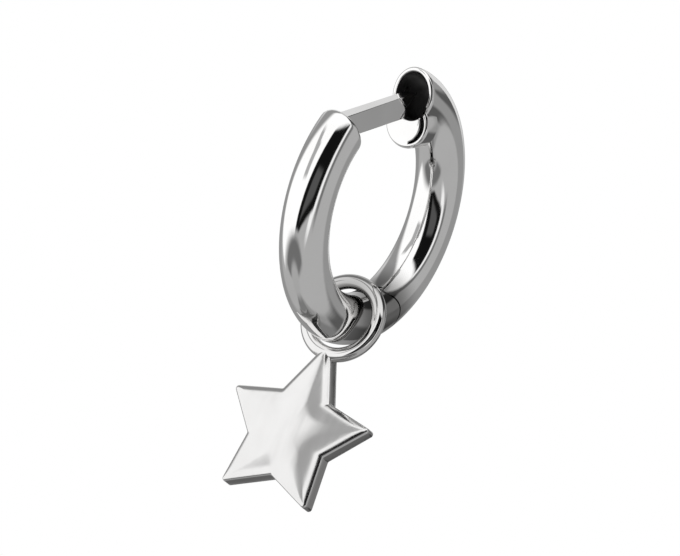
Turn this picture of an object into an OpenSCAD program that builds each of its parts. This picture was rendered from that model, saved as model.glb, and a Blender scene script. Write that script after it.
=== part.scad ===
// Hinged hoop earring with a star charm, polished silver.
// Frame: origin in the middle of the ear post's free length, +Z up, the hoop in the YZ plane
// and the star's face towards -Y. The earring hangs as it does from its post: the hoop leans
// by hang_tilt about X, so that the charm hangs straight down.
// Inside the hoop's own frame its centre is the origin, its axis is X, the post runs along Y
// and angles run from the lowest point, positive towards the back.

/* [Hoop] */
// Inside diameter of the hoop
hoop_inner_d = 8.44; // [8.2:0.02:9]
// Thickness of the tube, from its inner side to the top of its dome
tube_t = 2.4; // [2.2:0.02:2.44]
// Width of the tube along the hoop's axis
tube_w = 2.2; // [2:0.02:2.3]
// Height of the tube's widest place over its inner side
widest_h = 1.1; // [0.9:0.05:1.2]
// Angle that the hoop leans by as it hangs
hang_tilt = 33.4; // [20:0.2:40]

/* [Front arm and ear post] */
// Angle from the lowest point round the front to the arm's top end
front_end_angle = 143.5; // [142:0.5:147]
// How far the arm's end face leans back from square, so that its outer side is the longer
front_end_lean = 8; // [0:1:12]
// Width of the ear post
post_w = 0.64; // [0.5:0.02:0.8]
// Height of the ear post
post_h = 1.06; // [0.8:0.02:1.2]
// Height of the post's middle line over the hoop's centre
post_z = 4.48; // [4.3:0.02:4.7]
// Length of the pointed tip
post_tip = 1.15; // [0.8:0.05:1.4]
// How far the tip reaches into the catch
post_catch = 0.3; // [0.2:0.05:0.5]

/* [Back arm and catch] */
// Distance of the catch's flat end behind the hoop's centre, at the post
catch_y = 2.2; // [2:0.05:2.5]
// How far the flat end leans back from upright
catch_lean = 9; // [5:1:12]
// Radius of the round boss under the catch
boss_r = 1.15; // [1:0.05:1.25]
// Drop of the boss's middle below the post's
boss_drop = 1; // [0.9:0.05:1.1]
// Length of the boss behind the catch's flat end
boss_len = 0.85; // [0.8:0.05:1]
// Drop of the catch's lip below the post's middle
lip_drop = 0.88; // [0.75:0.01:1]
// Distance from the middle of the gap at the lip's side
lip_side = 0.6; // [0.5:0.02:0.7]
// Wall of the hollow end
wall = 0.22; // [0.18:0.01:0.3]
// Depth of the pocket behind the catch's lip
pocket_depth = 0.6; // [0.5:0.02:0.62]
// Angle from the lowest point at which the hollow of the tube starts
hollow_angle = 122; // [118:1:132]

/* [Hinge] */
// Angle of the hinge pin behind the lowest point
hinge_angle = 4; // [3:0.5:8]
// Radius of the hinge pin
pin_r = 0.3; // [0.25:0.01:0.35]
// Width of the middle knuckle
tongue_w = 0.84; // [0.7:0.02:0.9]
// Clearance round the knuckles
knuckle_gap = 0.08; // [0.06:0.01:0.1]
// Clearance at each side of the middle knuckle
side_gap = 0.05; // [0.04:0.01:0.08]
// Radial clearance of the pin
pin_gap = 0.02; // [0.01:0.005:0.03]
// Clearance between the middle knuckle and the bottom of its slot
slot_gap = 0.13; // [0.1:0.01:0.16]
// Metal that covers the pin's blind end
flank_skin = 0.25; // [0.2:0.01:0.3]
// Depth of the pin's open end below the flank
pin_recess = 0.13; // [0.08:0.01:0.16]

/* [Charm] */
// Angle of the charm ring in front of the hoop's lowest point
ring_angle = 15; // [10:1:20]
// Radius of the ring's wire
ring_wire_r = 0.34; // [0.28:0.01:0.38]
// Clearance between the ring and the tube's inner face
ring_gap = 0.28; // [0.2:0.01:0.3]
// Inside diameter of the ring
ring_inner_d = 2.9; // [2.88:0.02:3.1]
// Radius of the star, from its middle to its points before they are rounded
star_r = 4.03; // [3.6:0.05:4.4]
// Reach of its top point, which is longer to meet the ring, before it is rounded
top_r = 4.64; // [4.4:0.02:4.9]
// Radius of the star at its notches
notch_r = 2.21; // [2:0.05:2.4]
// Thickness of the star, with its domed face
star_t = 1; // [0.8:0.05:1.1]
// Radius of the rounded points
point_round = 0.16; // [0.12:0.01:0.3]
// Radius of the blunt top point
top_round = 0.35; // [0.3:0.01:0.4]
// Radius of the rounded notches
notch_round = 0.1; // [0.06:0.01:0.16]
// Width of the rounded border of the star's face
star_border = 0.55; // [0.4:0.05:0.7]
// Height of the small bevel round the star's back
star_bevel = 0.06; // [0.04:0.01:0.1]
// How far the star's top point goes into the ring's wire
solder_lap = 0.48; // [0.4:0.01:0.55]

/* [Hidden] */

smooth = 96;
// How far a cut runs past the face that it opens.
past = 1;
// The back arm's tube is swept up to this angle before its flat end is cut.
trim_angle = 172;
// The front arm's tube is swept this far past its end before it is cut.
end_past = 12;
// The cheeks' tube is swept this far past the hinge before it is rounded.
cheek_angle = 18;
inner_r = hoop_inner_d / 2;
outer_r = inner_r + tube_t;
// The knuckles have the tube's thickness, and the pin runs through their middle.
knuckle_r = tube_t / 2;
pin_ring_r = inner_r + knuckle_r;
// The pin stops inside the flank that shows from the front.
pin_end = tube_w / 2 - flank_skin;
// The middle knuckle swings through this slot between the cheeks.
slot_r = knuckle_r + slot_gap;
post_back = catch_y + post_catch;
end_mid_r = inner_r + tube_t / 2;
post_front_y = -end_mid_r * sin(front_end_angle);
// The mount is in the middle of the post's free length.
mount_y = (post_front_y + catch_y) / 2;
ring_r = ring_inner_d / 2 + ring_wire_r;
ring_place_r = inner_r - ring_gap + ring_inner_d / 2;
// Thickness of the lip that the post's tip snaps behind.
lip_t = 1.5 * wall;
// The gap at the lip's side is a little less deep than the pocket.
side_depth = 0.9 * pocket_depth;
// Half the width of the pocket, inside the tube's walls.
pocket_half = tube_w / 2 - 1.2 * wall;
// From the star's middle to the end of its blunt top point.
top_half = atan2(notch_r * sin(36), top_r - notch_r * cos(36));
top_reach = top_r - (top_round / sin(top_half) - top_round);
star_drop = ring_r + ring_wire_r + top_reach - solder_lap;
// The star's points keep at least this radius on its face.
least_round = 0.04;
// Border of the star's face: share of its width inwards, share of the thickness upwards.
border_steps = [[0, 0], [0, 0.5], [0.12, 0.68], [0.36, 0.82], [0.68, 0.91], [1, 0.95]];

// The tube's oval section as [radius, x], in two half ellipses that meet at its widest place.
function section(grow) =
    let (w = tube_w / 2 + grow, mid = inner_r + widest_h,
         inner_h = widest_h + grow, outer_h = tube_t - widest_h + grow)
    [for (a = [0:7.5:352.5]) [mid + (sin(a) < 0 ? inner_h : outer_h) * sin(a), w * cos(a)]];

// The star's ten corners, from its top point round by way of its notches.
function corner(i) =
    let (k = (i + 10) % 10, r = k % 2 == 1 ? notch_r : k == 0 ? top_r : star_r)
    [r * cos(36 * k), r * sin(36 * k)];

// Outward direction of the side that starts at a corner.
function side_normal(i) =
    let (d = (corner(i + 1) - corner(i)) / norm(corner(i + 1) - corner(i))) [d.y, -d.x];

// Star outline with rounded points and notches, moved inwards by an inset.
function star_outline(inset) =
    [for (i = [0:9])
        let (n1 = side_normal(i - 1), n2 = side_normal(i),
             tip = i % 2 == 0,
             meet = (n1 + n2) / (1 + n1 * n2),
             r = tip ? max((i == 0 ? top_round : point_round) - inset, least_round)
                 : -(notch_round + inset),
             mid = corner(i) - (inset + r) * meet,
             a1 = atan2(n1.y, n1.x),
             turn = (atan2(n2.y, n2.x) - a1 + 540) % 360 - 180)
        for (k = [0:4])
            let (a = a1 + turn * k / 4)
            mid + r * [cos(a), sin(a)]];

// Places the hoop's own frame in the earring's frame.
module hang() {
    rotate([hang_tilt, 0, 0])
    translate([0, -mount_y, -post_z])
    children();
}

// Sweeps a section round the hoop between two angles.
module sweep(profile, from_a, to_a) {
    rotate([0, 90, 0])
    rotate([0, 0, from_a])
    rotate_extrude(angle = to_a - from_a, $fn = 2 * smooth)
    polygon(profile);
}

// A cylinder round the hinge's axis, between two places along it.
module hinge_round(r, x0, x1) {
    rotate([hinge_angle, 0, 0])
    translate([x0, 0, -pin_ring_r])
    rotate([0, 90, 0])
    cylinder(r = r, h = x1 - x0, $fn = smooth);
}

// A bore for the hinge pin, between two places along it.
module pin_bore(x0, x1) {
    hinge_round(pin_r + pin_gap, x0, x1);
}

// The part of the space that lies behind the hinge's axis plane, across the tube.
module behind_hinge() {
    size = 2 * tube_t;
    rotate([hinge_angle, 0, 0])
    translate([-size / 2, 0, -pin_ring_r - size / 2])
    cube(size);
}

// The space past the front arm's end face.
module past_front_end() {
    size = 2 * tube_t;
    rotate([-front_end_angle, 0, 0])
    translate([0, 0, -end_mid_r])
    rotate([-front_end_lean, 0, 0])
    translate([-size / 2, -size, -size / 2])
    cube(size);
}

module front_arm_tube() {
    difference() {
        sweep(section(0), -front_end_angle - end_past, hinge_angle + cheek_angle);
        difference() {
            behind_hinge();
            hinge_round(knuckle_r, -tube_w, tube_w);
        }
        past_front_end();
    }
}

module ear_post() {
    shank = post_back - post_tip;
    root = post_front_y - post_h / 2;
    top = post_z + post_h / 2;
    low = post_z - post_h / 2;
    intersection() {
        translate([-post_w / 2, 0, 0])
        rotate([90, 0, 90])
        linear_extrude(post_w)
        polygon([[root, low], [shank, low], [shank, low + 0.28 * post_h],
            [shank + 0.15 * post_tip, low + 0.48 * post_h], [post_back, top - 0.16 * post_h],
            [post_back - 0.07 * post_tip, top - 0.08 * post_h], [shank + 0.3 * post_tip, top], [root, top]]);
        translate([0, 0, post_z - post_h])
        linear_extrude(2 * post_h)
        polygon([[-post_w / 2, root], [post_w / 2, root], [post_w / 2, shank],
            [0.18 * post_w, post_back], [-0.18 * post_w, post_back], [-post_w / 2, shank]]);
    }
}

module front_arm() {
    color("silver")
    hang()
    difference() {
        union() {
            front_arm_tube();
            ear_post();
        }
        hinge_round(slot_r, -tongue_w / 2 - side_gap, tongue_w / 2 + side_gap);
        // Open at one flank, where the pin is pushed in.
        pin_bore(-tube_w / 2 - past, pin_end + pin_gap);
    }
}

// Places the catch's own frame: its origin in the flat end, behind the post's middle line.
module at_catch() {
    translate([0, catch_y, post_z])
    rotate([-catch_lean, 0, 0])
    children();
}

// Extrudes an outline in the catch's flat end, from one depth to another.
module catch_extrude(from_y, to_y) {
    at_catch()
    translate([0, to_y, 0])
    rotate([90, 0, 0])
    linear_extrude(to_y - from_y)
    children();
}

// The round boss that thickens the arm's end towards the ear.
module boss() {
    catch_extrude(0, boss_len)
    translate([0, -boss_drop])
    circle(r = boss_r, $fn = smooth);
}

// The hollow that takes the post: the tube's own hollow, the pocket behind the lip, and
// the gap at the lip's side.
module catch_hollow() {
    difference() {
        sweep(section(-wall), hollow_angle, trim_angle);
        catch_extrude(-2 * past, lip_t)
        translate([-tube_w, -lip_drop - tube_t])
        square([2 * tube_w, tube_t]);
    }
    catch_extrude(-past, pocket_depth)
    intersection() {
        circle(r = pocket_half, $fn = smooth);
        translate([-pocket_half, -lip_drop])
        square(2 * pocket_half);
    }
    catch_extrude(-past, side_depth)
    intersection() {
        translate([0, -boss_drop])
        circle(r = boss_r - wall, $fn = smooth);
        translate([lip_side, -2 * boss_drop])
        square(1.9 * boss_drop);
    }
}

module back_arm() {
    color("silver")
    hang()
    difference() {
        union() {
            difference() {
                sweep(section(0), hinge_angle, trim_angle);
                at_catch()
                translate([-tube_w, -2 * outer_r, -tube_t])
                cube([2 * tube_w, 2 * outer_r, 2 * tube_t]);
            }
            boss();
            hinge_round(knuckle_r, -tongue_w / 2, tongue_w / 2);
        }
        hinge_round(knuckle_r + knuckle_gap, tongue_w / 2, tube_w);
        hinge_round(knuckle_r + knuckle_gap, -tube_w, -tongue_w / 2);
        pin_bore(-tongue_w, tongue_w);
        catch_hollow();
    }
}

module hinge_pin() {
    color("silver")
    hang()
    hinge_round(pin_r, -tube_w / 2 + pin_recess, pin_end);
}

module star() {
    count = len(star_outline(0));
    base = -star_t / 2;
    // Loops from the back's middle line over the edge to the face.
    loops = concat([[0.12 * star_border, 0]],
        [for (s = border_steps) [s[0] * star_border, s[1] * star_t + (s[1] == 0 ? star_bevel : 0)]]);
    points = concat(
        [for (l = loops, p = star_outline(l[0])) [p[0], p[1], base + l[1]]],
        [[0, 0, base], [0, 0, base + star_t]]);
    last = (len(loops) - 1) * count;
    faces = concat(
        [for (i = [0:count - 1]) [len(points) - 2, (i + 1) % count, i]],
        [for (l = [0:len(loops) - 2], i = [0:count - 1])
            [l * count + i, l * count + (i + 1) % count, (l + 1) * count + (i + 1) % count]],
        [for (l = [0:len(loops) - 2], i = [0:count - 1])
            [l * count + i, (l + 1) * count + (i + 1) % count, (l + 1) * count + i]],
        [for (i = [0:count - 1]) [last + i, last + (i + 1) % count, len(points) - 1]]);
    rotate([90, 0, 0])
    rotate([0, 0, 90])
    polyhedron(points, [for (f = faces) [f[2], f[1], f[0]]]);
}

module charm_ring() {
    rotate([90, 0, 0])
    rotate_extrude($fn = smooth)
    translate([ring_r, 0])
    circle(r = ring_wire_r, $fn = smooth / 2);
}

module star_charm() {
    color("gainsboro")
    hang()
    translate([0, -ring_place_r * sin(ring_angle), -ring_place_r * cos(ring_angle)])
    rotate([-hang_tilt, 0, 0])
    union() {
        charm_ring();
        translate([0, 0, -star_drop])
        star();
    }
}

front_arm();
back_arm();
hinge_pin();
star_charm();
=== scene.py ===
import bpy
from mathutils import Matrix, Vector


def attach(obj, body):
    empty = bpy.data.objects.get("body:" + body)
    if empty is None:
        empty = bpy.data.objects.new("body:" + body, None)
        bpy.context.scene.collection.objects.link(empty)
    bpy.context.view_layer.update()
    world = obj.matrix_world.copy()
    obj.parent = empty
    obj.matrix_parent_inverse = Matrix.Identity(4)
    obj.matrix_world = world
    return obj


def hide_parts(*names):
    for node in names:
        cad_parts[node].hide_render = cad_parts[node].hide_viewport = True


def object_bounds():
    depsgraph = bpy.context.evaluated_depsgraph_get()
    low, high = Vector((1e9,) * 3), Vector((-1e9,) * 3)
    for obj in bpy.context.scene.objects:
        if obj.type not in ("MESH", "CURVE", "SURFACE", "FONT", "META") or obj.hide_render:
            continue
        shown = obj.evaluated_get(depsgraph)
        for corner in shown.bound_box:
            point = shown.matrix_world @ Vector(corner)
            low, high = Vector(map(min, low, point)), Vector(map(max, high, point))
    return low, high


bl_info = {
    "name": "Hoop Charm Earring",
    "version": (1, 0, 0),
    "blender": (4, 5, 0),
    "location": "View3D > Sidebar > Earring",
    "description": "Builds a polished silver hinged hoop earring with a star charm",
    "category": "Object",
}

from math import acos, asin, atan2, cos, hypot, pi, radians, sin, tan

import bmesh
import bpy
from bpy.props import FloatProperty, FloatVectorProperty, IntProperty, PointerProperty
from mathutils import Matrix, Vector

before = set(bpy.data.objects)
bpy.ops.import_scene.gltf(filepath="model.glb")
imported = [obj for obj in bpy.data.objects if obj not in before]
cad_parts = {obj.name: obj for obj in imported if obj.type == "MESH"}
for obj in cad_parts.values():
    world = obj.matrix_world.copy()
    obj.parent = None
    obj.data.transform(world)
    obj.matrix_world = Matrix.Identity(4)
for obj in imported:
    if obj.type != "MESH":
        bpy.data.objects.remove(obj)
CAD_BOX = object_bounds()
MM = 0.001
PER_METRE = 1000.0
WHITE = (1, 1, 1, 1)

# How finely the arms, the hollow and the knuckle's web are swept round the hoop, and how many
# points go round the hollow, a disc or cylinder, the bore and the ring's wire and circle.
ARM_STEPS, HOLLOW_STEPS, WEB_STEPS = 120, 40, 24
HOLLOW_AROUND, DISC_AROUND, BORE_AROUND, WIRE_AROUND, RING_STEPS = 72, 96, 48, 48, 144
# The least angles, in radians, of the edges that are rounded: on the front arm's end, the
# post, the catch's rim and the middle knuckle. The last is that of a crease in the shading.
END_EDGE, POST_EDGE, RIM_EDGE, KNUCKLE_EDGE, CREASE = 0.9, 0.35, 0.7, 1.2, 0.62
# What counts as no distance, in millimetres or radians: of a corner from a cutting plane,
# from an arm's end and from its start, and between two corners that are welded.
ON_PLANE, AT_END, AT_START, WELD = 1e-5, 1e-3, 1e-4, 1e-4


def length_prop(name, description, default_mm):
    return FloatProperty(name=name, description=description, default=default_mm * MM,
                         min=0.0, precision=5, unit="LENGTH")


def angle_prop(name, description, default_deg):
    return FloatProperty(name=name, description=description, default=radians(default_deg),
                         subtype="ANGLE")


def share_prop(name, description, default):
    return FloatProperty(name=name, description=description, default=default,
                         subtype="FACTOR", min=0, max=1)


def colour_prop(name, description, default):
    return FloatVectorProperty(name=name, description=description, default=default,
                               subtype="COLOR", size=3, min=0, max=1)


class HoopSizes(bpy.types.PropertyGroup):
    inner_d: length_prop("Inside diameter", "Inside diameter of the hoop", 8.44)
    tube_t: length_prop("Tube thickness", "From the tube's inner side to the top of its dome", 2.4)
    tube_w: length_prop("Tube width", "Width of the tube along the hoop's axis", 2.2)
    widest_h: length_prop("Widest height", "Height of the tube's widest place over its inner side",
                          1.1)
    hang_tilt: angle_prop("Hang tilt", "How far the hoop leans as it hangs from its post", 33.4)
    front_end: angle_prop("Front end", "Angle from the lowest point to the front arm's top end",
                          143.5)
    end_lean: angle_prop("End lean", "How far the front arm's end face leans back", 8)
    end_round: length_prop("End rounding", "Radius of the rounded edge of the front arm's end",
                           0.25)
    around: IntProperty(name="Points around", description="Points round the tube", default=96,
                        min=24)


class PostSizes(bpy.types.PropertyGroup):
    width: length_prop("Width", "Width of the ear post", 0.64)
    height: length_prop("Height", "Height of the ear post", 1.06)
    middle_z: length_prop("Place", "Height of the post's middle line over the hoop's centre", 4.48)
    tip: length_prop("Tip", "Length of the pointed tip", 1.15)
    caught: length_prop("Caught", "How far the tip reaches into the catch", 0.3)


class CatchSizes(bpy.types.PropertyGroup):
    back: length_prop("Distance", "Distance of the flat end behind the hoop's centre", 2.2)
    lean: angle_prop("Lean", "How far the flat end leans back from upright", 9)
    boss_r: length_prop("Boss radius", "Radius of the round boss under the catch", 1.15)
    boss_drop: length_prop("Boss drop", "Drop of the boss's middle below the post's", 1.0)
    boss_len: length_prop("Boss length", "Length of the boss behind the flat end", 0.85)
    lip_drop: length_prop("Lip drop", "Drop of the catch's lip below the post's middle", 0.88)
    lip_r: length_prop("Lip radius", "Radius of the round lip in the catch's flat end", 0.95)
    wall: length_prop("Wall", "Wall of the hollow end", 0.22)
    pocket: length_prop("Pocket", "Depth of the pocket behind the lip", 0.6)
    rim_round: length_prop("Rim rounding", "Radius of the rolled rim on its outer side", 0.14)
    mouth_round: length_prop("Mouth rounding", "Radius of the rolled rim on its inner side", 0.07)
    hollow: angle_prop("Hollow", "Angle from the lowest point at which the hollow starts", 122)


class HingeSizes(bpy.types.PropertyGroup):
    place: angle_prop("Place", "Angle of the hinge behind the lowest point", 4)
    pin_r: length_prop("Pin radius", "Radius of the hinge pin", 0.3)
    tongue_w: length_prop("Knuckle width", "Width of the middle knuckle", 0.84)
    knuckle_gap: length_prop("Knuckle clearance", "Clearance round the knuckles", 0.08)
    side_gap: length_prop("Side clearance", "Clearance at each side of the middle knuckle", 0.05)
    slot_gap: length_prop("Slot clearance", "Clearance between the knuckle and its slot", 0.13)
    pin_gap: length_prop("Pin clearance", "Radial clearance of the pin", 0.02)
    flank_skin: length_prop("Flank skin", "Metal that covers the pin's blind end", 0.25)


class CharmSizes(bpy.types.PropertyGroup):
    place: angle_prop("Place", "Angle of the ring in front of the hoop's lowest point", 15)
    wire_r: length_prop("Wire radius", "Radius of the ring's wire", 0.34)
    ring_gap: length_prop("Ring clearance", "Clearance between the ring and the tube", 0.28)
    ring_inner_d: length_prop("Ring inside", "Inside diameter of the ring", 2.9)
    star_r: length_prop("Star radius", "From the star's middle to its points before rounding", 4.03)
    top_r: length_prop("Top point", "Reach of the longer top point before rounding", 4.64)
    notch_r: length_prop("Notch radius", "Radius of the star at its notches", 2.21)
    thickness: length_prop("Thickness", "Thickness of the star", 1.0)
    point_round: length_prop("Point rounding", "Radius of the rounded points", 0.16)
    top_round: length_prop("Top rounding", "Radius of the blunt top point", 0.35)
    notch_round: length_prop("Notch rounding", "Radius of the rounded notches", 0.1)
    lap: length_prop("Solder lap", "How far the star's top point goes into the wire", 0.48)
    bow: FloatProperty(name="Bow", precision=3, default=0.009, min=0, max=0.03,
                       description="Fall of the star's face per square millimetre sideways")
    turn: angle_prop("Turn", "How far the star is soldered out of square with the ring", 0.5)


class SilverLook(bpy.types.PropertyGroup):
    colour: colour_prop("Silver", "Colour of the polished silver", (0.93, 0.925, 0.92))
    tarnish: colour_prop("Tarnish", "Tint of the duller patches", (0.9, 0.895, 0.89))
    roughness: share_prop("Roughness", "Roughness of the polish", 0.06)
    star_colour: colour_prop("Star silver", "Colour of the star's soft silver", (0.81, 0.805, 0.8))
    star_roughness: share_prop("Star roughness", "Roughness of the star", 0.14)
    # The star's sides are a darker copy of its silver: painted shade. Their roughness is their own.
    side_shade_colour: colour_prop("Star's sides", "Colour of the star's sides, darkened as painted shade", (0.52, 0.515, 0.51))
    side_roughness: share_prop("Side roughness", "Roughness of the star's sides", 0.2)
    # The catch's cavity is painted dark: painted shade inside the hollow.
    hollow_shade_colour: colour_prop("Hollow", "Painted shade inside the hollow catch", (0.3, 0.3, 0.3))
    hollow_roughness: share_prop("Hollow roughness", "Roughness inside the catch", 0.35)
    mark_size: length_prop("Mark size", "Size of the fine polishing marks", 0.35)
    # Painted shade round the hinge, where the ring and the knuckles shade the arms: its reach and
    # its depth.
    hinge_shade_reach: length_prop("Hinge shade reach", "How far the painted shade reaches round the hinge", 3.1)
    hinge_shade_depth: share_prop("Hinge shade depth", "How dark it is at the hinge", 0.72)


class StageLook(bpy.types.PropertyGroup):
    floor_z: FloatProperty(name="Floor", description="Height of the floor", unit="LENGTH",
                           default=-0.15)
    floor_size: length_prop("Floor size", "Width of the floor", 3000)
    floor_glow: FloatProperty(name="Floor glow", default=0.38, min=0,
                              description="Light of its own that keeps the floor pale")
    distance: length_prop("Distance", "Distance of the camera", 430)
    view_w: length_prop("View width", "Width that the camera sees at the earring", 31.0)
    light: FloatProperty(name="Light", description="Strength of the surroundings", default=1.0)


class HoopEarring(bpy.types.PropertyGroup):
    hoop: PointerProperty(type=HoopSizes)
    post: PointerProperty(type=PostSizes)
    catch: PointerProperty(type=CatchSizes)
    hinge: PointerProperty(type=HingeSizes)
    charm: PointerProperty(type=CharmSizes)
    silver: PointerProperty(type=SilverLook)
    stage: PointerProperty(type=StageLook)


class Plan:
    """The earring's sizes in millimetres, and the places that follow from them."""

    def __init__(self, settings):
        h, p, c = settings.hoop, settings.post, settings.catch
        g, k = settings.hinge, settings.charm
        mm = PER_METRE
        self.inner_r = h.inner_d * mm / 2
        self.tube_t = h.tube_t * mm
        self.tube_w = h.tube_w * mm
        self.widest_h = h.widest_h * mm
        self.outer_r = self.inner_r + self.tube_t
        self.tilt, self.front_end, self.end_lean = h.hang_tilt, h.front_end, h.end_lean
        self.end_round, self.around = h.end_round * mm, h.around
        self.mid_r = self.inner_r + self.tube_t / 2
        self.post_w, self.post_h, self.post_z = p.width * mm, p.height * mm, p.middle_z * mm
        self.post_tip = p.tip * mm
        self.catch_y, self.catch_lean = c.back * mm, c.lean
        self.post_back = self.catch_y + p.caught * mm
        self.boss_r, self.boss_drop = c.boss_r * mm, c.boss_drop * mm
        self.boss_len = c.boss_len * mm
        self.lip_drop, self.lip_r = c.lip_drop * mm, c.lip_r * mm
        self.wall, self.pocket, self.hollow = c.wall * mm, c.pocket * mm, c.hollow
        self.rim_round, self.mouth_round = c.rim_round * mm, c.mouth_round * mm
        self.hinge_a, self.pin_r = g.place, g.pin_r * mm
        self.knuckle_r = self.tube_t / 2
        self.pin_ring_r = self.inner_r + self.knuckle_r
        self.tongue_w, self.knuckle_gap = g.tongue_w * mm, g.knuckle_gap * mm
        self.side_gap, self.slot_r = g.side_gap * mm, self.knuckle_r + g.slot_gap * mm
        self.bore_r = self.pin_r + g.pin_gap * mm
        self.bore_end = self.tube_w / 2 - g.flank_skin * mm + g.pin_gap * mm
        self.post_front = -self.mid_r * sin(self.front_end)
        self.mount_y = (self.post_front + self.catch_y) / 2
        self.wire_r = k.wire_r * mm
        ring_inner_r = k.ring_inner_d * mm / 2
        self.ring_r = ring_inner_r + self.wire_r
        self.ring_a = k.place
        self.ring_place_r = self.inner_r - k.ring_gap * mm + ring_inner_r
        self.star_r, self.notch_r, self.star_t = k.star_r * mm, k.notch_r * mm, k.thickness * mm
        self.point_round, self.notch_round = k.point_round * mm, k.notch_round * mm
        self.top_r, self.top_round = k.top_r * mm, k.top_round * mm
        top_half = atan2(self.notch_r * sin(pi / 5), self.top_r - self.notch_r * cos(pi / 5))
        top_reach = self.top_r - (self.top_round / sin(top_half) - self.top_round)
        self.star_turn, self.star_bow = k.turn, k.bow
        self.star_drop = self.ring_r + self.wire_r + top_reach - k.lap * mm

    def hang(self):
        """From the hoop's own frame in millimetres to the earring's frame in metres."""
        return (Matrix.Scale(MM, 4) @ Matrix.Rotation(self.tilt, 4, "X")
                @ Matrix.Translation((0, -self.mount_y, -self.post_z)))

    def pin_turn(self):
        """From the hinge pin's own frame, along X, to the hoop's frame."""
        return (Matrix.Rotation(self.hinge_a, 4, "X")
                @ Matrix.Translation((0, 0, -self.pin_ring_r)))

    def catch_place(self):
        """From the catch's flat end, with Y into the arm, to the hoop's frame."""
        return (Matrix.Translation((0, self.catch_y, self.post_z))
                @ Matrix.Rotation(-self.catch_lean, 4, "X"))

    def knuckle_reach(self, r, knuckle_r):
        """Angle past the hinge at which a circle round the pin meets the radius r."""
        p = self.pin_ring_r
        return acos(min(1.0, (r * r + p * p - knuckle_r * knuckle_r) / (2 * r * p)))

    def catch_angle(self, r, past):
        """Angle at which the radius r meets a plane past the catch's flat end."""
        level = self.catch_y * cos(self.catch_lean) - self.post_z * sin(self.catch_lean) - past
        return pi - asin(level / r) - self.catch_lean

    def front_angle(self, r):
        """Angle, counted forwards, at which the radius r meets the front arm's leaned end."""
        return self.front_end + atan2(tan(self.end_lean) * (r - self.mid_r), r)


def unique(items):
    """Each item once and in a fixed order, so that every run makes the same mesh."""
    return list(dict.fromkeys(items))


def oval_ring(bm, plan, grow=0.0, count=None):
    """Starts the tube's section, two half ellipses, at the hoop's lowest point."""
    made = bmesh.ops.create_circle(bm, cap_ends=False, radius=1.0, segments=count or plan.around)
    for v in made["verts"]:
        x, y = v.co.x, v.co.y
        reach = (plan.tube_t - plan.widest_h if y > 0 else plan.widest_h) + grow
        radius = plan.inner_r + plan.widest_h + y * reach
        v.co = Vector((x * (plan.tube_w / 2 + grow), 0.0, -radius))
    return made["verts"]


def hoop_angle(v):
    """Angle round the hoop from its lowest point, counted backwards."""
    return atan2(v.co.y, -v.co.z)


def swept(plan, start, end, steps, grow=0.0, ruled_start=False, count=None, last_step=0.0):
    """Spins the section, grown by grow, round the hoop. start and end give the angle for each
    radius, ruled_start closes the start with straight lines, and last_step is the length of
    the last step, which leaves room for a rounded end."""
    bm = bmesh.new()
    ring = oval_ring(bm, plan, grow, count)
    edges = unique(e for v in ring for e in v.link_edges)
    bmesh.ops.spin(bm, geom=ring + edges, cent=(0, 0, 0), axis=(1, 0, 0), angle=1.0,
                   steps=steps, use_merge=False, use_duplicate=False)
    for v in bm.verts:
        r = hypot(v.co.y, v.co.z)
        t = abs(hoop_angle(v))
        a, b = start(r), end(r)
        if last_step and t < 1.0 - 0.5 / steps:
            b -= (1 if b > a else -1) * last_step / r
            t *= steps / (steps - 1)
        a += (b - a) * min(1.0, t)
        v.co.y, v.co.z = r * sin(a), -r * cos(a)
    open_edges = [e for e in bm.edges if e.is_boundary]
    if ruled_start:
        first = [e for e in open_edges
                 if all(abs(hoop_angle(v) - start(hypot(v.co.y, v.co.z))) < AT_START
                        for v in e.verts)]
        bm.verts.index_update()
        rule_across(bm, first)
        open_edges = [e for e in bm.edges if e.is_boundary]
    bmesh.ops.holes_fill(bm, edges=open_edges, sides=0)
    bmesh.ops.recalc_face_normals(bm, faces=bm.faces)
    return bm


def rule_across(bm, loop):
    """Closes an open section with straight lines along the hoop's axis."""
    bmesh.ops.holes_fill(bm, edges=loop, sides=0)
    facing = {}
    for v in unique(v for e in loop for v in e.verts):
        facing.setdefault((round(v.co.y, 4), round(v.co.z, 4)), []).append(v)
    for pair in sorted((p for p in facing.values() if len(p) == 2), key=lambda p: p[0].index):
        bmesh.ops.connect_verts(bm, verts=pair)


def moved(bm, matrix):
    """Moves a whole shape, and returns it."""
    bmesh.ops.transform(bm, verts=bm.verts, matrix=matrix)
    return bm


def cylinder(radius, length, segments):
    """A cylinder along Z round the origin."""
    bm = bmesh.new()
    bmesh.ops.create_cone(bm, cap_ends=True, segments=segments, radius1=radius, radius2=radius,
                          depth=length)
    return bm


def rod(radius, x0, x1, segments=DISC_AROUND):
    """A cylinder along X."""
    return moved(cylinder(radius, x1 - x0, segments),
                 Matrix.Translation(((x0 + x1) / 2, 0, 0)) @ Matrix.Rotation(pi / 2, 4, "Y"))


def block(low, high):
    """A box between two corners."""
    bm = bmesh.new()
    bmesh.ops.create_cube(bm, size=1.0)
    low, high = Vector(low), Vector(high)
    return moved(bm, Matrix.Translation((low + high) / 2)
                 @ Matrix.Diagonal((*(high - low), 1.0)))


def new_object(name, bm):
    """Puts a shape into the scene as an object."""
    mesh = bpy.data.meshes.new(name)
    bm.to_mesh(mesh)
    bm.free()
    ob = bpy.data.objects.new(name, mesh)
    bpy.context.scene.collection.objects.link(ob)
    return ob


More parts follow.
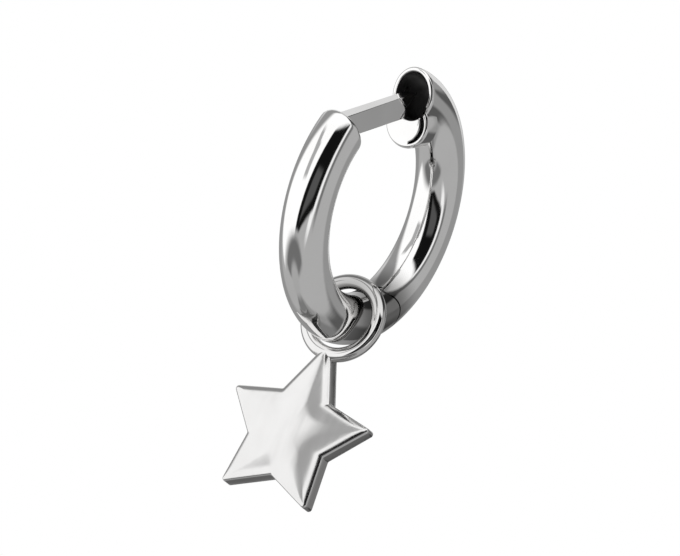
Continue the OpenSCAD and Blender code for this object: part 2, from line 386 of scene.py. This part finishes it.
def combine(bm, tool, operation):
    """Cuts, joins or crosses two closed shapes, and returns the result. The empty material
    slots keep the faces' numbers of up to three materials."""
    objects = [new_object("work_%d" % i, shape) for i, shape in enumerate((bm, tool))]
    for ob in objects:
        for _ in range(3):
            ob.data.materials.append(None)
    body, cutter = objects
    mod = body.modifiers.new("combine", "BOOLEAN")
    mod.operation, mod.solver, mod.object = operation, "EXACT", cutter
    bpy.context.view_layer.update()
    result = bmesh.new()
    result.from_object(body, bpy.context.evaluated_depsgraph_get())
    for ob in objects:
        mesh = ob.data
        bpy.data.objects.remove(ob)
        bpy.data.meshes.remove(mesh)
    if not result.faces:
        raise RuntimeError("a cut or union left nothing")
    return result


def cut(bm, tool):
    return combine(bm, tool, "DIFFERENCE")


def join(bm, other):
    return combine(bm, other, "UNION")


def with_material(bm, index):
    """Gives all faces of a shape one material, and returns it."""
    for f in bm.faces:
        f.material_index = index
    return bm


def round_edges(bm, edges, offset, segments):
    """Rounds those of the edges that are still there."""
    edges = [e for e in edges if e.is_valid]
    if edges:
        bmesh.ops.bevel(bm, geom=edges, offset=offset, offset_type="OFFSET", segments=segments,
                        profile=0.5, affect="EDGES", clamp_overlap=False, material=-1)


def sharp(e, angle):
    """Whether the two faces at an edge turn by more than an angle."""
    return len(e.link_faces) == 2 and e.calc_face_angle(0.0) > angle


def finish_piece(name, bm, place, body, node, materials):
    """Makes the object in the earring's frame, with smooth shading and firm creases."""
    moved(bm, place)
    bmesh.ops.recalc_face_normals(bm, faces=bm.faces)
    for f in bm.faces:
        f.smooth = True
    for e in bm.edges:
        e.smooth = not sharp(e, CREASE)
    ob = new_object(name, bm)
    weighted = ob.modifiers.new("flat faces first", "WEIGHTED_NORMAL")
    weighted.keep_sharp = True
    weighted.weight = 80
    for material in materials:
        ob.data.materials.append(material)
    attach(ob, body)
    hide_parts(node)


def new_material(name):
    """A material with nodes, and its surface shader."""
    mat = bpy.data.materials.new(name)
    mat.use_nodes = True
    return mat, next(n for n in mat.node_tree.nodes if n.type == "BSDF_PRINCIPLED")


# How the buffing marks lie, their detail, the part of their noise that counts, the range it
# gives to the roughness, and their height. The same of the haze, which darkens and dents the
# metal, with its size in millimetres. Then the depth of the relief, and the painted shade round
# the hinge: how much of its reach is darkest, and its near-black colour.
MARK_TURN, MARK_STRETCH, MARK_DETAIL = (0.6, 0.35, 0.2), (1.0, 1.0, 0.22), 6.0
MARK_RANGE, ROUGHNESS_RANGE, MARK_HEIGHT = (0.3, 0.75), (0.75, 1.4), 0.05
HAZE_SIZE, HAZE_DETAIL, HAZE_RANGE = 2.2, 3.0, (0.42, 0.78)
HAZE_DEPTH, DENT_HEIGHT, RELIEF = 0.55, 0.25, 0.02 * MM
HINGE_SHADE_CORE, HINGE_SHADE_COLOUR = 0.45, (0.06, 0.058, 0.055, 1)
# How strongly the star's face, its sides and the hollow show marks and dents.
STAR_MARKS, SIDE_MARKS, HOLLOW_MARKS = 0.35, 1.2, 2.0


def polished_silver(name, look, colour, roughness, marks=1.0, shade_centre=None):
    """Mirror-polished silver with faint buffing marks, hazy patches and small dents.

    shade_centre is the place, at the hinge, round which the silver is darkened as painted shade."""
    mat, shader = new_material(name)
    nodes, links = mat.node_tree.nodes, mat.node_tree.links
    shader.inputs["Metallic"].default_value = 1.0
    shader.inputs["IOR"].default_value = 1.45
    place = nodes.new("ShaderNodeTexCoord").outputs["Object"]
    mapping = nodes.new("ShaderNodeMapping")
    mapping.inputs["Rotation"].default_value = MARK_TURN
    mapping.inputs["Scale"].default_value = MARK_STRETCH
    links.new(place, mapping.inputs["Vector"])

    def noise(scale_mm, detail, vector):
        n = nodes.new("ShaderNodeTexNoise")
        n.inputs["Scale"].default_value = 1.0 / (scale_mm * MM)
        n.inputs["Detail"].default_value = detail
        links.new(vector, n.inputs["Vector"])
        return n.outputs["Fac"]

    def spread(value, low, high, to_low, to_high, kind="LINEAR"):
        n = nodes.new("ShaderNodeMapRange")
        n.interpolation_type = kind
        n.inputs["From Min"].default_value, n.inputs["From Max"].default_value = low, high
        n.inputs["To Min"].default_value, n.inputs["To Max"].default_value = to_low, to_high
        links.new(value, n.inputs["Value"])
        return n.outputs["Result"]

    def blend(share, first, second):
        n = nodes.new("ShaderNodeMix")
        n.data_type = "RGBA"
        links.new(share, n.inputs["Factor"])
        if isinstance(first, tuple):
            n.inputs["A"].default_value = first
        else:
            links.new(first, n.inputs["A"])
        n.inputs["B"].default_value = second
        return n.outputs["Result"]

    def relief(height, strength):
        n = nodes.new("ShaderNodeBump")
        n.inputs["Strength"].default_value = strength * marks
        n.inputs["Distance"].default_value = RELIEF
        links.new(height, n.inputs["Height"])
        return n

    haze = noise(HAZE_SIZE, HAZE_DETAIL, place)
    buffing = noise(look.mark_size * PER_METRE, MARK_DETAIL, mapping.outputs["Vector"])
    tone = blend(spread(haze, *HAZE_RANGE, 0.0, HAZE_DEPTH), (*colour, 1),
                 (*(c * t for c, t in zip(colour, look.tarnish)), 1))
    # Painted shade: the silver darkens towards near black round the hinge.
    if shade_centre:
        away = nodes.new("ShaderNodeVectorMath")
        away.operation = "DISTANCE"
        away.inputs[1].default_value = shade_centre
        links.new(place, away.inputs[0])
        reach = look.hinge_shade_reach
        near = spread(away.outputs["Value"], HINGE_SHADE_CORE * reach, reach, look.hinge_shade_depth, 0.0,
                      "SMOOTHSTEP")
        tone = blend(near, tone, HINGE_SHADE_COLOUR)
    links.new(tone, shader.inputs["Base Color"])
    rough = spread(buffing, *MARK_RANGE, *(roughness * share for share in ROUGHNESS_RANGE))
    links.new(rough, shader.inputs["Roughness"])
    marked, dented = relief(buffing, MARK_HEIGHT), relief(haze, DENT_HEIGHT)
    links.new(marked.outputs["Normal"], dented.inputs["Normal"])
    links.new(dented.outputs["Normal"], shader.inputs["Normal"])
    return mat


def silver(settings, name="polished_silver", colour=None):
    """The arms' silver with its painted shade round the hinge, made once for each name."""
    look, p = settings.silver, Plan(settings)
    hinge = (p.hang() @ p.pin_turn()).translation
    return (bpy.data.materials.get(name)
            or polished_silver(name, look, colour or look.colour, look.roughness, shade_centre=hinge))


# The ring takes the star's darker silver and the painted shade round the hinge: painted shade for
# the dark reflections under and inside the ring.
def shaded_ring_silver(settings):
    return silver(settings, "shaded_ring_silver", settings.silver.star_colour)


def star_silver(settings):
    look = settings.silver
    return polished_silver("soft_silver", look, look.star_colour, look.star_roughness, STAR_MARKS)


# The star's sides: a darker copy of the star's silver, as painted shade.
def shaded_side_silver(settings):
    look = settings.silver
    return polished_silver("shaded_side_silver", look, look.side_shade_colour, look.side_roughness, SIDE_MARKS)


# Dark silver for the catch's cavity: painted shade in the hollow.
def hollow_shade_silver(settings):
    look = settings.silver
    return polished_silver("painted_shade_hollow", look, look.hollow_shade_colour, look.hollow_roughness,
                           HOLLOW_MARKS)


# The front arm's last step, in radii of its rounded end, which it leaves room for.
END_STEP = 1.3
# The post's tip from the side: how far along the tip and how high up the post, as shares.
# Then how much slimmer the post is at its tip, and the radius of its edges in millimetres.
POST_TIP = ((0.0, 0.28), (0.15, 0.48), (1.0, 0.84), (0.93, 0.92), (0.3, 1.0))
POST_TAPER, POST_ROUND = 0.64, 0.05


class EARRING_OT_front_arm(bpy.types.Operator):
    """Models the front arm with its ear post and hinge cheeks"""
    bl_idname = "earring.front_arm"
    bl_label = "Front Arm"

    def execute(self, context):
        settings = context.scene.hoop_earring
        p = Plan(settings)
        tube = swept(p, lambda r: p.hinge_a + p.knuckle_reach(r, p.knuckle_r),
                     lambda r: -p.front_angle(r), ARM_STEPS, ruled_start=True,
                     last_step=END_STEP * p.end_round)
        end = [e for e in tube.edges if sharp(e, END_EDGE)
               and all(abs(hoop_angle(v) + p.front_angle(hypot(v.co.y, v.co.z))) < AT_END
                       for v in e.verts)]
        round_edges(tube, end, p.end_round, segments=6)
        half = p.tongue_w / 2 + p.side_gap
        slot = rod(p.slot_r, -half, half)
        bore = rod(p.bore_r, -p.tube_w, p.bore_end, BORE_AROUND)
        for tool in (slot, bore):
            tube = cut(tube, moved(tool, p.pin_turn()))
        tube = join(tube, ear_post(p))
        finish_piece("front_arm_silver", tube, p.hang(), "front", "front_arm",
                     [silver(settings)])
        return {"FINISHED"}


def ear_post(p):
    """The flat post: its side outline, extruded, tapered to the tip and its edges rounded."""
    shank = p.post_back - p.post_tip
    root = p.post_front - p.post_h / 2
    low, top = p.post_z - p.post_h / 2, p.post_z + p.post_h / 2
    tip = [(shank + along * p.post_tip, low + up * p.post_h) for along, up in POST_TIP]
    outline = [(root, low), (shank, low), *tip, (root, top)]
    bm = bmesh.new()
    face = bm.faces.new([bm.verts.new((-p.post_w / 2, y, z)) for y, z in outline])
    made = bmesh.ops.extrude_face_region(bm, geom=[face])["geom"]
    bmesh.ops.translate(bm, verts=[v for v in made if isinstance(v, bmesh.types.BMVert)],
                        vec=(p.post_w, 0, 0))
    for v in bm.verts:
        share = max(0.0, (v.co.y - shank) / p.post_tip)
        v.co.x *= 1.0 - POST_TAPER * share
    bmesh.ops.recalc_face_normals(bm, faces=bm.faces)
    round_edges(bm, [e for e in bm.edges if sharp(e, POST_EDGE)], POST_ROUND, segments=3)
    return bm


# How far the arm and its hollow are swept past the flat end, in millimetres. The shares of
# these that the parts of the catch reach differ, so that no two of their ends lie in one plane.
ARM_PAST, HOLLOW_PAST = 0.3, 0.6
BOSS_PAST, POCKET_PAST, GAP_PAST, CHANNEL_PAST, CLEAR = 0.7, 1.1, 0.9, 0.8, 2
# The pocket's and the lip's thickness in walls, and the depths of the gap and its channel as
# shares of the pocket's and the gap's.
POCKET_WALLS, LIP_WALLS, GAP_DEPTH, CHANNEL_DEPTH = 1.2, 1.5, 0.9, 0.95
# Where the gap begins beside the lip, and the channel's sides, in millimetres from the middle.
# The channel's top is a share of the boss's drop.
GAP_SIDE, CHANNEL_SIDES, CHANNEL_TOP = 0.3, (-0.7, 0.77), 0.1
# The web's turn round the hoop in radians, how much slimmer it is than the tube, and the
# radius of the knuckle's edges, both in millimetres.
WEB_TURN, WEB_SLIMMER, KNUCKLE_ROUND = 0.42, 0.02, 0.03


class EARRING_OT_back_arm(bpy.types.Operator):
    """Models the back arm with its middle knuckle and hollow catch"""
    bl_idname = "earring.back_arm"
    bl_label = "Back Arm"

    def execute(self, context):
        settings = context.scene.hoop_earring
        p = Plan(settings)
        gap_r = p.knuckle_r + p.knuckle_gap
        arm = swept(p, lambda r: p.hinge_a + p.knuckle_reach(r, gap_r),
                    lambda r: p.catch_angle(r, ARM_PAST), ARM_STEPS, ruled_start=True,
                    last_step=ARM_PAST + 2 * p.rim_round)
        arm = join(arm, middle_knuckle(p))
        bore = rod(p.bore_r, -p.tongue_w, p.tongue_w, BORE_AROUND)
        arm = cut(arm, moved(bore, p.pin_turn()))
        boss = catch_disc(p.boss_r, 0, -p.boss_drop, -BOSS_PAST * ARM_PAST, p.boss_len)
        arm = trim_flat(join(arm, moved(boss, p.catch_place())), p)
        # The cavity's faces take the second slot, the dark hollow silver, as painted shade.
        arm = cut(arm, with_material(hollow(p), 1))
        rim = [e for e in arm.edges if sharp(e, RIM_EDGE) and in_flat_end(p, e)]
        inner = [e for e in rim if any(f.material_index for f in e.link_faces)]
        outer = [e for e in rim if e not in inner]
        round_edges(arm, inner, p.mouth_round, segments=4)
        round_edges(arm, outer, p.rim_round, segments=5)
        finish_piece("back_arm_silver", arm, p.hang(), "back", "back_arm",
                     [silver(settings), hollow_shade_silver(settings)])
        return {"FINISHED"}


def trim_flat(bm, p):
    """Cuts the arm off at the catch's flat end, whose face is left in two halves."""
    place = p.catch_place()
    bmesh.ops.bisect_plane(bm, geom=bm.verts[:] + bm.edges[:] + bm.faces[:], dist=ON_PLANE,
                           plane_co=place.translation, plane_no=place.to_3x3() @ Vector((0, -1, 0)),
                           clear_outer=True)
    end = bmesh.ops.holes_fill(bm, edges=[e for e in bm.edges if e.is_boundary], sides=0)["faces"]
    edges = unique(e for f in end for e in f.edges)
    verts = unique(v for e in edges for v in e.verts)
    bmesh.ops.bisect_plane(bm, geom=verts + edges + end, dist=ON_PLANE, plane_co=(0, 0, 0),
                           plane_no=(1, 0, 0))
    bmesh.ops.recalc_face_normals(bm, faces=bm.faces)
    return bm


def in_flat_end(p, e):
    back = p.catch_place().inverted()
    return all(abs((back @ v.co).y) < AT_END for v in e.verts)


def catch_disc(radius, x, z, from_y, to_y):
    """A round plate in the catch, between two depths behind its flat end."""
    return moved(cylinder(radius, to_y - from_y, DISC_AROUND),
                 Matrix.Translation((x, (from_y + to_y) / 2, z)) @ Matrix.Rotation(pi / 2, 4, "X"))


def hollow(p):
    """What the catch is hollowed by: the tube's own hollow, the pocket behind the lip, and the
    gap that runs down round the lip."""
    past, depth = HOLLOW_PAST, GAP_DEPTH * p.pocket
    bm = swept(p, lambda r: p.hollow, lambda r: p.catch_angle(r, past), HOLLOW_STEPS,
               grow=-p.wall, count=HOLLOW_AROUND, last_step=past + 2 * p.rim_round)
    half = p.tube_w / 2 - POCKET_WALLS * p.wall
    front, back = -CLEAR * past, 2 * p.pocket
    pocket = combine(catch_disc(half, 0, 0, -POCKET_PAST * past, p.pocket),
                     block((-p.tube_w, front, -p.lip_drop), (p.tube_w, back, 2 * half)),
                     "INTERSECT")
    left, right = CHANNEL_SIDES
    gap = join(catch_disc(p.boss_r - p.wall, 0, -p.boss_drop, -GAP_PAST * past, depth),
               block((left, -CHANNEL_PAST * past, -p.boss_drop),
                     (right, CHANNEL_DEPTH * depth, -CHANNEL_TOP * p.boss_drop)))
    gap = combine(gap, block((GAP_SIDE, front, -p.tube_t), (p.tube_w, back, p.tube_t)),
                  "INTERSECT")
    gap = cut(gap, catch_disc(p.lip_r, p.lip_r - p.boss_r, -p.boss_drop, front,
                              LIP_WALLS * p.wall))
    for part in (pocket, gap):
        bm = join(bm, moved(part, p.catch_place()))
    return bm


def middle_knuckle(p):
    """The middle knuckle round the pin, with the web that joins it to the arm. The web is a
    hair slimmer than the tube, so that no two faces lie in one."""
    half = p.tongue_w / 2
    knuckle = rod(p.knuckle_r, -half, half)
    round_edges(knuckle, [e for e in knuckle.edges if sharp(e, KNUCKLE_EDGE)], KNUCKLE_ROUND,
                segments=2)
    knuckle = moved(knuckle, p.pin_turn())
    web = swept(p, lambda r: p.hinge_a, lambda r: p.hinge_a + WEB_TURN, WEB_STEPS,
                grow=-WEB_SLIMMER)
    reach = p.outer_r * 2
    web = combine(web, block((-half, -reach, -reach), (half, reach, 0)), "INTERSECT")
    return join(knuckle, web)


class EARRING_OT_hinge_pin(bpy.types.Operator):
    """Finishes the hinge pin in polished silver"""
    bl_idname = "earring.hinge_pin"
    bl_label = "Hinge Pin"

    def execute(self, context):
        settings = context.scene.hoop_earring
        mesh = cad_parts["hinge_pin"].data
        mesh.materials.clear()
        mesh.materials.append(silver(settings))
        return {"FINISHED"}


class EARRING_OT_star_charm(bpy.types.Operator):
    """Models the ring and the domed star that hang from the hoop"""
    bl_idname = "earring.star_charm"
    bl_label = "Star Charm"

    def execute(self, context):
        settings = context.scene.hoop_earring
        p = Plan(settings)
        star = moved(star_body(p), Matrix.Translation((0, 0, -p.star_drop))
                     @ Matrix.Rotation(p.star_turn, 4, "Z"))
        charm = join(wire_ring(p), star)
        y, z = -p.ring_place_r * sin(p.ring_a), -p.ring_place_r * cos(p.ring_a)
        place = p.hang() @ Matrix.Translation((0, y, z)) @ Matrix.Rotation(-p.tilt, 4, "X")
        finish_piece("star_charm_silver", charm, place, "charm", "star_charm",
                     [shaded_ring_silver(settings), star_silver(settings), shaded_side_silver(settings)])
        return {"FINISHED"}


def wire_ring(p):
    """The round ring of wire, upright and facing -Y."""
    ring = bmesh.new()
    wire = bmesh.ops.create_circle(ring, cap_ends=False, radius=p.wire_r,
                                   segments=WIRE_AROUND)["verts"]
    bmesh.ops.translate(ring, verts=wire, vec=(p.ring_r, 0, 0))
    edges = unique(e for v in wire for e in v.link_edges)
    bmesh.ops.spin(ring, geom=wire + edges, cent=(0, 0, 0), axis=(0, 1, 0), angle=2 * pi,
                   steps=RING_STEPS, use_merge=True, use_duplicate=False)
    bmesh.ops.remove_doubles(ring, verts=ring.verts, dist=WELD)
    bmesh.ops.recalc_face_normals(ring, faces=ring.faces)
    return ring


# The star's section from its back over the border: how far inwards, in millimetres, and how
# high, as a share of its thickness. Then the face: share of the border's last outline, and
# height. The rings from DOME_FROM on are smoothed DOME_STEPS times.
STAR_BORDER = ((0.05, 0.0), (0.015, 0.012), (0.0, 0.05), (0.0, 0.3), (0.0, 0.66), (0.01, 0.7),
               (0.035, 0.738), (0.07, 0.764), (0.11, 0.788), (0.15, 0.808), (0.2, 0.83),
               (0.26, 0.851), (0.33, 0.868), (0.41, 0.885), (0.5, 0.902), (0.6, 0.919),
               (0.7, 0.934), (0.8, 0.947), (0.9, 0.958), (1.0, 0.967))
STAR_FACE = ((0.84, 0.976), (0.66, 0.983), (0.48, 0.988), (0.3, 0.991), (0.14, 0.992))
TIP_STEPS, SIDE_STEPS, NOTCH_STEPS = 8, 5, 5
DOME_FROM, DOME_STEPS = 13, 25
# A point's least radius, in millimetres, and how it grows with the inset.
LEAST_ROUND, ROUND_GROWTH = 0.04, 0.35
# The charm's materials after the ring's, and how level a side's normal is at most.
FACE_MATERIAL, SIDE_MATERIAL, SIDE_LEVEL = 1, 2, 0.1


def star_corner(p, i):
    """The star's ten corners, from its top point round by way of its notches."""
    r = p.notch_r if i % 2 else p.top_r if i % 10 == 0 else p.star_r
    return Vector((r * cos(pi / 5 * i), r * sin(pi / 5 * i)))


def side_normal(p, i):
    """The direction that the side after a corner faces."""
    side = (star_corner(p, i + 1) - star_corner(p, i)).normalized()
    return Vector((side.y, -side.x))


def star_outline(p, inset):
    """Places along the outline with rounded points and notches, moved inwards by an inset."""
    places = []
    for i in range(10):
        n1, n2 = side_normal(p, i - 1), side_normal(p, i)
        if i % 2:
            r = -(p.notch_round + inset)
            steps = NOTCH_STEPS
        else:
            r = max((p.point_round if i else p.top_round) - inset,
                    LEAST_ROUND + ROUND_GROWTH * inset)
            steps = TIP_STEPS
        mid = star_corner(p, i) - (n1 + n2) * ((inset + r) / (1 + n1.dot(n2)))
        turn = atan2(n1.cross(n2), n1.dot(n2))
        arc = [mid + r * (Matrix.Rotation(turn * k / steps, 2) @ n1) for k in range(steps + 1)]
        if places:
            places += [places[-1].lerp(arc[0], m / SIDE_STEPS) for m in range(1, SIDE_STEPS)]
        places += arc
    return places + [places[-1].lerp(places[0], m / SIDE_STEPS) for m in range(1, SIDE_STEPS)]


def star_body(p):
    """The star, its first point upwards and its domed face towards -Y."""
    bm = bmesh.new()
    count = len(star_outline(p, 0))
    loop = list(bmesh.ops.create_circle(bm, cap_ends=False, radius=1.0, segments=count)["verts"])
    loop.sort(key=lambda v: atan2(v.co.y, v.co.x) % (2 * pi))
    rings = [(star_outline(p, inset), height) for inset, height in STAR_BORDER]
    inner = rings[-1][0]
    rings += [([place * share for place in inner], height) for share, height in STAR_FACE]
    domed = []
    for step, (places, height) in enumerate(rings):
        if step:
            chain = set(loop)
            edges = [e for e in bm.edges if e.verts[0] in chain and e.verts[1] in chain]
            made = bmesh.ops.extrude_edge_only(bm, edges=edges)["geom"]
            fresh = {v for v in made if isinstance(v, bmesh.types.BMVert)}
            loop = [next(e.other_vert(v) for e in v.link_edges if e.other_vert(v) in fresh)
                    for v in loop]
        for v, place in zip(loop, places):
            v.co = Vector((place.x, place.y, (height - 0.5) * p.star_t))
        if step >= DOME_FROM:
            domed += loop
    bmesh.ops.holes_fill(bm, edges=[e for e in bm.edges if e.is_boundary], sides=0)
    for _ in range(DOME_STEPS):
        bmesh.ops.smooth_vert(bm, verts=domed, factor=0.5, use_axis_z=True)
    for v in bm.verts:
        if v.co.z > 0:
            v.co.z -= p.star_bow * v.co.y ** 2
    bmesh.ops.recalc_face_normals(bm, faces=bm.faces)
    for f in bm.faces:
        # Faces that look sideways take the darker side silver, as painted shade.
        f.material_index = SIDE_MATERIAL if abs(f.normal.z) < SIDE_LEVEL else FACE_MATERIAL
    return moved(bm, Matrix.Rotation(pi / 2, 4, "X") @ Matrix.Rotation(pi / 2, 4, "Z"))


# The floor's colour and roughness, and the brightness of the room between its cards.
FLOOR_COLOUR, FLOOR_ROUGHNESS, ROOM_TONE = (0.85, 0.85, 0.85, 1), 0.7, 0.43
# The camera's right and up, fitted to the outlines in the photograph, its sensor's width in
# millimetres, and the nearest and farthest it sees, in metres.
CAMERA_RIGHT, CAMERA_UP = (0.8139, 0.4195, 0.4020), (-0.2654, -0.3472, 0.8995)
SENSOR_W, CLIP = 36.0, (0.01, 10.0)


class EARRING_OT_stage(bpy.types.Operator):
    """Sets the pale floor, the soft studio light and the camera"""
    bl_idname = "earring.stage"
    bl_label = "Stage"

    def execute(self, context):
        look = context.scene.hoop_earring.stage
        scene = context.scene
        bm = bmesh.new()
        bmesh.ops.create_grid(bm, x_segments=4, y_segments=4, size=look.floor_size / 2)
        bmesh.ops.translate(bm, verts=bm.verts, vec=(0, 0, look.floor_z))
        floor = new_object("floor", bm)
        mat, shader = new_material("pale_floor")
        shader.inputs["Base Color"].default_value = FLOOR_COLOUR
        shader.inputs["Roughness"].default_value = FLOOR_ROUGHNESS
        shader.inputs["Emission Color"].default_value = WHITE
        shader.inputs["Emission Strength"].default_value = look.floor_glow
        floor.data.materials.append(mat)
        floor.visible_glossy = False
        scene.world = white_tent(look)
        place_camera(scene, look)
        scene.view_settings.view_transform = "Standard"
        return {"FINISHED"}


# The surroundings that the metal mirrors, as soft-edged cards in a grey room, each laid over
# those before it. Each has its brightness and its edges: the weights of azimuth and elevation,
# and the value in degrees that their sum passes inside the card, with its softness. Azimuth 0
# is -Y and 90 is +X.
CARDS = (
    # dim upper left of the tent
    (0.30, ((-0.62, 0.78, 50, 14), (-1, 0, 30, 20))),
    # white softbox in front and to the left
    (1.10, ((1, 0, -96, 10), (-1, 0.42, -19, 9), (0.62, -0.78, -58, 14), (0.1, 1, -51, 14))),
    # white top
    (1.10, ((0, 1, 34, 6), (1, 0, -12, 14), (-1, 0, -84, 12))),
    # grey gap between the front softbox and the next, bent at its top
    (0.43, ((1, 0, -25, 5), (-1, 0, 5, 6), (0, 1, -8, 7), (0, -1, -20, 5))),
    (0.43, ((1, 1, -12, 6), (-1, -1, -8, 6), (-1, 0, 7, 5), (0, 1, 11, 5), (0, -1, -30, 8))),
    # bright strip beside the dark card
    (0.95, ((1, 0.0, 66, 6), (-1, 0.22, -85, 5), (0, 1, -34, 22), (0, -1, -34, 6))),
    # narrow dim strip
    (0.16, ((1, -0.05, 86, 4), (-1, 0.1, -95, 6), (0, 1, -14, 16))),
    # dark card, lighter in its middle
    (0.006, ((1, -0.36, 17, 5), (-1, 0.14, -76, 4), (0, -1, -32, 4), (-0.56, 0.83, -54, 5),
             (0, 1, -47, 6))),
    (0.085, ((1, -0.36, 34, 7), (-1, 0.2, -62, 7), (0, -1, -3, 6), (-0.56, 0.83, -44, 6))),
    # dim wall behind
    (0.3, ((1, 0, 141, 8),)),
    (0.3, ((-1, 0, 150, 20),)),
    (0.1, ((1, 0, 155, 5), (0, 1, 23, 5), (0, -1, -32, 5))),
    (0.2, ((1, 0, 152, 8), (0, -1, 20, 10))),
    (0.2, ((-1, 0, 152, 8), (0, -1, 20, 10))),
    # light wall behind on the left, and the dark edge of the top behind
    (0.72, ((-1, 0, 104, 14), (0, 1, 18, 14), (0, -1, -68, 10))),
    (0.05, ((1, 0, 98, 12), (0, 1, 44, 8), (0, -1, -74, 8))),
    # dark foot of the softbox in front
    (0.16, ((1, 0, -82, 14), (-1, 0, -78, 20), (0, 1, -74, 14), (0, -1, 53, 9))),
    # dark wall low behind on the right
    (0.1, ((1, 0, 142, 8), (0, 1, -22, 10), (0, -1, -3, 9))),
    # plain middle of the top and of the bottom
    (0.6, ((0, 1, 76, 12),)),
    (0.4, ((0, -1, 76, 12),)),
)


def white_tent(look):
    """The room round the earring: plain white to the camera, soft cards to the metal."""
    world = bpy.data.worlds.new("white_tent")
    world.use_nodes = True
    nodes, links = world.node_tree.nodes, world.node_tree.links
    sky = nodes["Background"]

    def math(operation, a, b=0.0, c=0.0):
        n = nodes.new("ShaderNodeMath")
        n.operation = operation
        for socket, value in zip(n.inputs, (a, b, c)):
            if isinstance(value, (int, float)):
                socket.default_value = value
            else:
                links.new(value, socket)
        return n.outputs[0]

    def soft_step(value, at, soft):
        n = nodes.new("ShaderNodeMapRange")
        n.interpolation_type = "SMOOTHSTEP"
        n.inputs["From Min"].default_value = at - soft / 2
        n.inputs["From Max"].default_value = at + soft / 2
        links.new(value, n.inputs["Value"])
        return n.outputs["Result"]

    place = nodes.new("ShaderNodeTexCoord")
    split = nodes.new("ShaderNodeSeparateXYZ")
    links.new(place.outputs["Generated"], split.inputs["Vector"])
    front = math("MULTIPLY", split.outputs["Y"], -1.0)
    azimuth = math("MULTIPLY", math("ARCTAN2", split.outputs["X"], front), 180 / pi)
    elevation = math("MULTIPLY", math("ARCSINE", split.outputs["Z"]), 180 / pi)
    tone = ROOM_TONE
    for brightness, edges in CARDS:
        inside = 1.0
        for a, e, at, soft in edges:
            along = math("ADD", math("MULTIPLY", azimuth, a), math("MULTIPLY", elevation, e))
            step = soft_step(along, at, soft)
            inside = step if inside == 1.0 else math("MULTIPLY", inside, step)
        # tone + inside * (brightness - tone)
        rise = math("SUBTRACT", brightness, tone)
        tone = math("MULTIPLY_ADD", inside, rise, tone)
    links.new(math("MULTIPLY", tone, look.light), sky.inputs["Strength"])
    seen = nodes.new("ShaderNodeBackground")
    seen.inputs["Color"].default_value = WHITE
    sky.inputs["Color"].default_value = WHITE
    path = nodes.new("ShaderNodeLightPath")
    mix = nodes.new("ShaderNodeMixShader")
    links.new(path.outputs["Is Camera Ray"], mix.inputs["Fac"])
    links.new(sky.outputs["Background"], mix.inputs[1])
    links.new(seen.outputs["Background"], mix.inputs[2])
    links.new(mix.outputs["Shader"], nodes["World Output"].inputs["Surface"])
    return world


def place_camera(scene, look):
    """Sets a distant camera that looks at the middle of the earring."""
    right = Vector(CAMERA_RIGHT).normalized()
    toward = right.cross(Vector(CAMERA_UP)).normalized()
    up = toward.cross(right)
    data = bpy.data.cameras.new("camera")
    data.sensor_width = SENSOR_W
    data.lens = SENSOR_W * look.distance / look.view_w
    data.clip_start, data.clip_end = CLIP
    camera = bpy.data.objects.new("camera", data)
    scene.collection.objects.link(camera)
    low, high = CAD_BOX
    middle = (Vector(low) + Vector(high)) / 2
    turn = Matrix((right, up, toward)).transposed().to_4x4()
    camera.matrix_world = Matrix.Translation(middle + toward * look.distance) @ turn
    scene.camera = camera


class EARRING_PT_panel(bpy.types.Panel):
    bl_idname = "EARRING_PT_panel"
    bl_label = "Hoop Charm Earring"
    bl_space_type = "VIEW_3D"
    bl_region_type = "UI"
    bl_category = "Earring"

    def draw(self, context):
        settings = context.scene.hoop_earring
        for title, group, operators in PANEL_ROWS:
            box = self.layout.box()
            box.label(text=title)
            values = getattr(settings, group)
            for key in values.__annotations__:
                box.prop(values, key)
            for op in operators:
                box.operator(op)


PANEL_ROWS = (
    ("Hoop", "hoop", ("earring.front_arm",)),
    ("Ear post", "post", ()),
    ("Catch", "catch", ("earring.back_arm",)),
    ("Hinge", "hinge", ("earring.hinge_pin",)),
    ("Charm", "charm", ("earring.star_charm",)),
    ("Silver", "silver", ()),
    ("Stage", "stage", ("earring.stage",)),
)
CLASSES = (HoopSizes, PostSizes, CatchSizes, HingeSizes, CharmSizes, SilverLook, StageLook,
           HoopEarring, EARRING_OT_front_arm, EARRING_OT_back_arm, EARRING_OT_hinge_pin,
           EARRING_OT_star_charm, EARRING_OT_stage, EARRING_PT_panel)


def register():
    for c in CLASSES:
        bpy.utils.register_class(c)
    bpy.types.Scene.hoop_earring = PointerProperty(type=HoopEarring)


def unregister():
    del bpy.types.Scene.hoop_earring
    for c in reversed(CLASSES):
        bpy.utils.unregister_class(c)


def main():
    register()
    for step in ("stage", "front_arm", "back_arm", "hinge_pin", "star_charm"):
        if getattr(bpy.ops.earring, step)() != {"FINISHED"}:
            raise RuntimeError("the step %s did not finish" % step)


if __name__ == "__main__":
    main()
